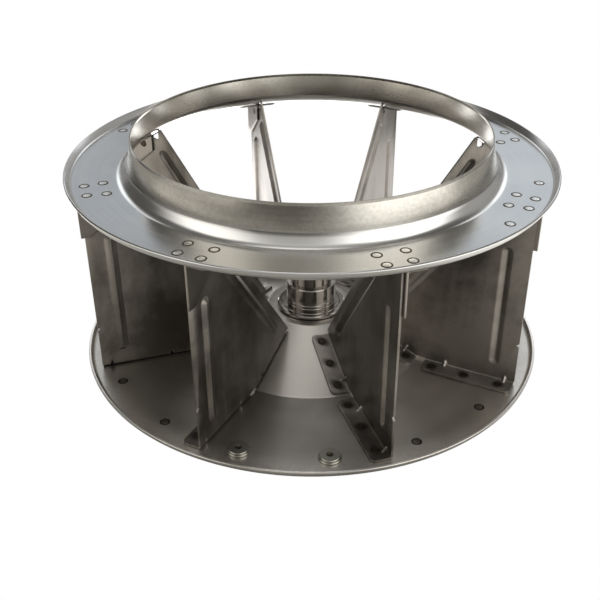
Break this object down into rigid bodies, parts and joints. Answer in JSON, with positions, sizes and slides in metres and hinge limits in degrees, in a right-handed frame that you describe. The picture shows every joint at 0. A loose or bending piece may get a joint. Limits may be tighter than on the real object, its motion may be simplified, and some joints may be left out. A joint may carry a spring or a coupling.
{
  "type": "radial fan wheel",
  "caption": "Sheet-metal fan wheel with flat radial blades welded between a spun inlet shroud and a coned back plate with a turned hub.",
  "frame": {"origin": "on the shaft line, in the plane of the back plate's underside", "axes": "+Z along the shaft line towards the inlet; +X midway between two blades"},
  "size_m": [0.464, 0.464, 0.2278],
  "materials": {
    "spun_steel": "spun, satin, faint turning lines",
    "plate_steel": "rolled, satin to mirror",
    "blade_steel": "bare rolled sheet with heat tint at the welds",
    "turned_steel": "turned and polished"
  },
  "bodies": {
    "root": {"inlet_shroud": "spun_steel", "back_plate": "plate_steel", "blade_1": "blade_steel", "blade_2": "blade_steel", "blade_3": "blade_steel", "blade_4": "blade_steel", "blade_5": "blade_steel", "blade_6": "blade_steel", "blade_7": "blade_steel", "blade_8": "blade_steel", "angle_bracket_1": "blade_steel", "angle_bracket_2": "blade_steel", "angle_bracket_3": "blade_steel", "angle_bracket_4": "blade_steel", "angle_bracket_5": "blade_steel", "angle_bracket_6": "blade_steel", "angle_bracket_7": "blade_steel", "angle_bracket_8": "blade_steel", "hub": "turned_steel", "hub_ring": "turned_steel", "balance_weight_1": "turned_steel", "balance_weight_2": "turned_steel"}
  },
  "joints": []
}
